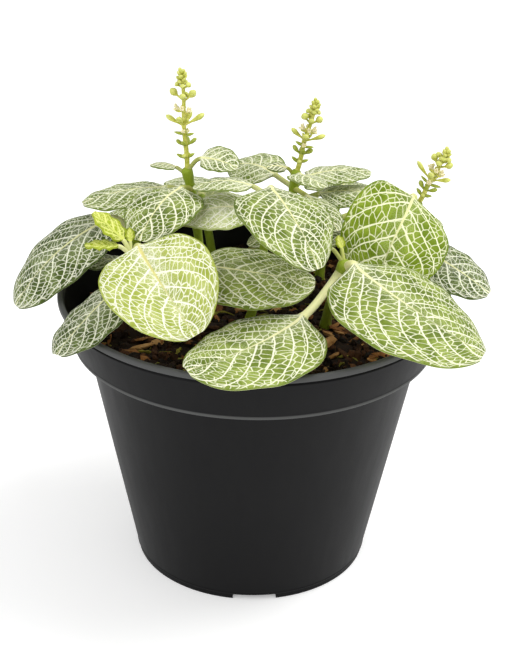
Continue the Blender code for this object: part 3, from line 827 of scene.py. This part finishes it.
def roundedOutline(outline):
    points = []
    for i, (radius, height, curve) in enumerate(outline):
        here = np.array([radius, height], float)
        if curve == 0:
            points.append(here)
            continue
        before, after = np.array(outline[i - 1][:2]) - here, np.array(outline[i + 1][:2]) - here
        lengths = np.linalg.norm(before), np.linalg.norm(after)
        first = here + before * min(curve, lengths[0] * 0.45) / lengths[0]
        last = here + after * min(curve, lengths[1] * 0.45) / lengths[1]
        points.extend(curvePoint([first, here, last], np.linspace(0, 1, 5)))
    return np.array(points)


def spin(name, outline, segments):
    # a body of revolution about Z from an outline of (radius, height) in mm
    angle = 2 * np.pi * np.arange(segments) / segments
    circle = np.stack([np.cos(angle), np.sin(angle)], -1)
    ring = outline[:, None, :1] * circle[None]
    height = np.broadcast_to(outline[:, None, 1:], (len(outline), segments, 1))
    return skinRings(name, np.concatenate([ring, height], -1) * mm)


def cutWith(piece, tool):
    activate(piece)
    cut = piece.modifiers.new("cut", "BOOLEAN")
    cut.operation = "DIFFERENCE"
    cut.solver = "EXACT"
    cut.object = tool
    bpy.ops.object.modifier_apply(modifier="cut")
    bpy.data.objects.remove(tool)


def potMaterial():
    f = Finish("pot_black")
    place = f.place()
    x, y, z = f.parts(place)
    cloud, grain = f.noise(place, 30.0, 3), f.noise(place, 1500.0, 2)
    streak = f.noise(f.vector(x * 260, y * 260, z * 9), 1.0, 3)
    base = f.mix(cloud, colour("#0c0c0d"), colour("#111112"))
    # painted highlight: the lip from about 108.5 mm up and the bead at the collar's lower edge are mixed
    # halfway to light grey, standing in for light caught on those edges
    edge = z.rise(0.1083, 0.1088).most(z.rise(0.0918, 0.0922) * z.rise(0.0936, 0.0930))
    base = f.mix(edge * 0.5, base, colour("#6a6b6a"))
    rough = 0.40 + streak * 0.12 + grain * 0.06
    f.give(baseColor=base, roughness=rough, specularIorLevel=0.11)
    return f.give(normal=f.bump(grain, 0.00004, 0.35))


def makePot():
    pot = spin("potPiece", roundedOutline(potValues["outline"]), potValues["segments"])
    closeSkin(pot)
    for i in range(potValues["notches"]):
        turn = math.radians(potValues["notchTurn"] - 90 + 360 / potValues["notches"] * i)
        place = (potValues["notchCircle"] * math.cos(turn), potValues["notchCircle"] * math.sin(turn), 0)
        clearSelection()
        bpy.ops.mesh.primitive_cube_add(
            size=1, location=place, rotation=(0, 0, turn), scale=potValues["notchSize"],
        )
        notch = takeActive("notch")
        bevel = notch.modifiers.new("soft", "BEVEL")
        bevel.width = 0.5 * mm
        bevel.segments = 2
        bpy.ops.object.modifier_apply(modifier="soft")
        cutWith(pot, notch)
    for i in range(potValues["holes"]):
        turn = math.radians(360 / potValues["holes"] * (i + 0.5))
        circle = potValues["holeCircle"]
        place = (circle * math.cos(turn), circle * math.sin(turn), 2.6 * mm)
        clearSelection()
        bpy.ops.mesh.primitive_cylinder_add(
            vertices=32, radius=potValues["holeRadius"], depth=10 * mm, location=place,
        )
        cutWith(pot, takeActive("hole"))
    smooth(pot, 35)
    finishPiece(pot, potMaterial(), ["pot"])


makePot()
print("pot")


# the root ball's surface and what lies on it

soilValues = {"top": 98.6, "bumps": 1.9, "crumbs": 1800, "chips": 240, "moss": 170}


def soilHeight(x, y):
    # the surface in mm at a place in mm
    total = 0.0
    for size, share in ((17.0, 0.5), (6.0, 0.32), (2.3, 0.18)):
        total += share * noise.noise(Vector((x / size, y / size, size)))
    edge = max(0.0, (math.hypot(x, y) - 58) / 9)
    return soilValues["top"] + total * 2 * soilValues["bumps"] - edge * 1.2


def soilMaterial():
    f = Finish("soil_peat")
    place, shade = f.place(), f.attribute("shade")
    cloud, grain = f.noise(place, 260.0, 4, 0.65), f.noise(place, 1300.0, 3)
    stops = [(0.0, colour("#0e0a07")), (0.35, colour("#2b1a0f")), (0.6, colour("#4a2c17")),
             (0.8, colour("#8a5a2e")), (1.0, colour("#c79a63"))]
    along = (shade + (cloud - 0.5) * 0.45).most(0.0).least(1.0)
    ramp = f.node("ShaderNodeValToRGB", {"stops": stops}, {"Fac": along})
    return f.give(baseColor=ramp, roughness=0.85, specularIorLevel=0.25, normal=f.bump(grain, 0.0006, 0.8))


def mossMaterial():
    f = Finish("soil_moss")
    shade = f.attribute("shade")
    base = f.mix(shade, colour("#5a5a16"), colour("#b0a63a"))
    base = f.mix(f.noise(f.place(), 500.0, 2).rise(0.4, 0.7) * 0.5, base, colour("#3a3512"))
    return f.give(baseColor=base, roughness=0.7)


soilPeat = soilMaterial()


def copies(name, count, detail=1):
    # one mesh that holds many small icospheres; returns it with the icosphere's own points
    clearSelection()
    bpy.ops.mesh.primitive_ico_sphere_add(subdivisions=detail, radius=1)
    piece = takeActive(name)
    points = np.array([v.co[:] for v in piece.data.vertices])
    array = piece.modifiers.new("many", "ARRAY")
    array.count = count
    bpy.ops.object.modifier_apply(modifier="many")
    return piece, points


def scatter(name, count, size, stretch, shades, lift, dice, reach=65.0):
    # size and stretch: ranges in mm and as shares; shades: range of the colour value
    piece, points = copies(name, count)
    placed, values = [], []
    for _ in range(count):
        radius, angle = reach * math.sqrt(dice.random()), dice.uniform(0, math.tau)
        x, y = radius * math.cos(angle), radius * math.sin(angle)
        shape = np.array([dice.uniform(*stretch[0]), dice.uniform(*stretch[1]), dice.uniform(*stretch[2])])
        scale = dice.uniform(*size) * shape
        rough = np.array([[dice.uniform(0.7, 1.3)] for _ in points])
        turn = Matrix.Rotation(dice.uniform(0, math.tau), 3, "Z")
        turn = turn @ Matrix.Rotation(dice.uniform(-0.6, 0.6), 3, "X")
        turn = np.array(turn @ Matrix.Rotation(dice.uniform(-0.5, 0.5), 3, "Y"))
        centre = np.array([x, y, soilHeight(x, y) + dice.uniform(*lift)])
        placed.append((points * rough * scale) @ turn.T + centre)
        values += [dice.uniform(*shades)] * len(points)
    piece.data.vertices.foreach_set("co", (np.concatenate(placed) * mm).reshape(-1).astype(np.float32))
    piece.data.update()
    storeValues(piece, "shade", values)
    return piece


def makeSoil():
    dice = random.Random(41)
    segments, top = 180, 60
    walls = np.array([(2, 4.5), (44, 4.5), (62, 93), (67, 93.9), (67.3, 96)])
    inward = np.linspace(67.3, 1.0, top)
    outline = np.vstack([walls, np.stack([inward, np.full(top, soilValues["top"])], -1)])
    body = spin("rootBall", outline, segments)
    co = np.empty(len(body.data.vertices) * 3, np.float32)
    body.data.vertices.foreach_get("co", co)
    co = co.reshape(-1, 3)
    for i in range(len(walls) * (segments + 1), len(co)):
        co[i, 2] = soilHeight(co[i, 0] / mm, co[i, 1] / mm) * mm
    body.data.vertices.foreach_set("co", co.reshape(-1))
    storeValues(body, "shade", np.full(len(co), 0.22))
    closeSkin(body)
    smooth(body, 60)
    shape = ((0.7, 1.3),) * 3
    crumbs = scatter("crumbs", soilValues["crumbs"], (0.5, 1.9), shape, (0.05, 0.6), (-0.2, 0.8), dice)
    shape = ((1.2, 2.4), (0.5, 0.9), (0.25, 0.5))
    chips = scatter("chips", soilValues["chips"], (1.3, 3.0), shape, (0.5, 1.0), (0.2, 1.4), dice)
    piece = joinAll("soilPiece", [body, crumbs, chips])
    finishPiece(piece, soilPeat, ["root_ball"])

    strands = []
    for _ in range(soilValues["moss"]):
        radius, angle = 63 * math.sqrt(dice.random()), dice.uniform(0, math.tau)
        x, y = radius * math.cos(angle), radius * math.sin(angle)
        start = Vector((x, y, soilHeight(x, y) - 0.3))
        heading, reach = dice.uniform(0, math.tau), dice.uniform(4, 9)
        step = Vector((math.cos(heading), math.sin(heading), 0)) * reach
        middle = start + step * 0.5 + Vector((dice.uniform(-2, 2), dice.uniform(-2, 2), dice.uniform(1, 4)))
        end = start + step + Vector((0, 0, dice.uniform(-0.5, 1.0)))
        t = np.linspace(0, 1, 9)
        centre = curvePoint([start, middle, end], t)
        girth = dice.uniform(0.3, 0.85) * (1 - 0.7 * t) * (1 + 0.35 * np.sin(t * 30))
        strand = skinRings("strand", rodRings(centre, girth, 5, 0.6) * mm)
        storeValues(strand, "shade", np.full(len(strand.data.vertices), dice.random()))
        closeSkin(strand)
        strands.append(strand)
    moss = joinAll("mossPiece", strands)
    smooth(moss, 60)
    finishPiece(moss, mossMaterial())


makeSoil()
print("soil")


# studio

cameraValues = {
    "target": (1 * mm, 0.0, 94 * mm), "distance": 630 * mm,
    "elevation": 26, "roll": 1, "lens": 90,
}


def makeCamera():
    tilt, roll = math.radians(cameraValues["elevation"]), math.radians(cameraValues["roll"])
    back = Vector((0, -math.cos(tilt), math.sin(tilt)))
    right = Vector((1, 0, 0))
    up = back.cross(right)
    turnedRight = right * math.cos(roll) + up * math.sin(roll)
    turnedUp = up * math.cos(roll) - right * math.sin(roll)
    bpy.ops.object.camera_add()
    camera = bpy.context.active_object
    camera.name = "camera"
    pose = Matrix((turnedRight, turnedUp, back)).transposed().to_4x4()
    pose.translation = Vector(cameraValues["target"]) + back * cameraValues["distance"]
    camera.matrix_world = pose
    camera.data.sensor_width = 36
    camera.data.lens = cameraValues["lens"]
    camera.data.clip_start = 0.01
    bpy.context.scene.camera = camera


lampValues = {
    # name: place, what it shines at, width, power in watts
    "keyLamp": ((0.6, 0.1, 1.1), (0, 0, 0.1), 0.7, 9.0),
    "fillLamp": ((-0.5, -0.9, 0.9), (0, 0, 0.1), 0.9, 5.5),
}


def makeLamps():
    for name, (place, target, width, power) in lampValues.items():
        bpy.ops.object.light_add(type="AREA", location=place)
        lamp = bpy.context.active_object
        lamp.name = name
        lamp.data.energy = power
        lamp.data.size = width
        aim = Vector(target) - Vector(place)
        lamp.rotation_euler = aim.to_track_quat("-Z", "Y").to_euler()
    world = bpy.data.worlds.new("studio")
    bpy.context.scene.world = world
    world.use_nodes = True
    light = world.node_tree.nodes["Background"]
    light.inputs["Color"].default_value = (1, 1, 1, 1)
    light.inputs["Strength"].default_value = 0.66


def makeFloor():
    clearSelection()
    bpy.ops.mesh.primitive_plane_add(size=6, location=(0, 0, 0))
    floor = takeActive("studioFloor")
    f = Finish("floor_white")
    shade = f.mix(f.noise(f.place(), 3.0, 2), (0.90, 0.90, 0.90, 1), (0.92, 0.92, 0.92, 1))
    f.give(emissionColor=(1, 1, 1, 1), emissionStrength=0.3)
    floor.data.materials.append(f.give(baseColor=shade, roughness=0.9, specularIorLevel=0.1))


makeCamera()
makeLamps()
makeFloor()
bpy.context.scene.view_settings.view_transform = "Standard"
print("studio")
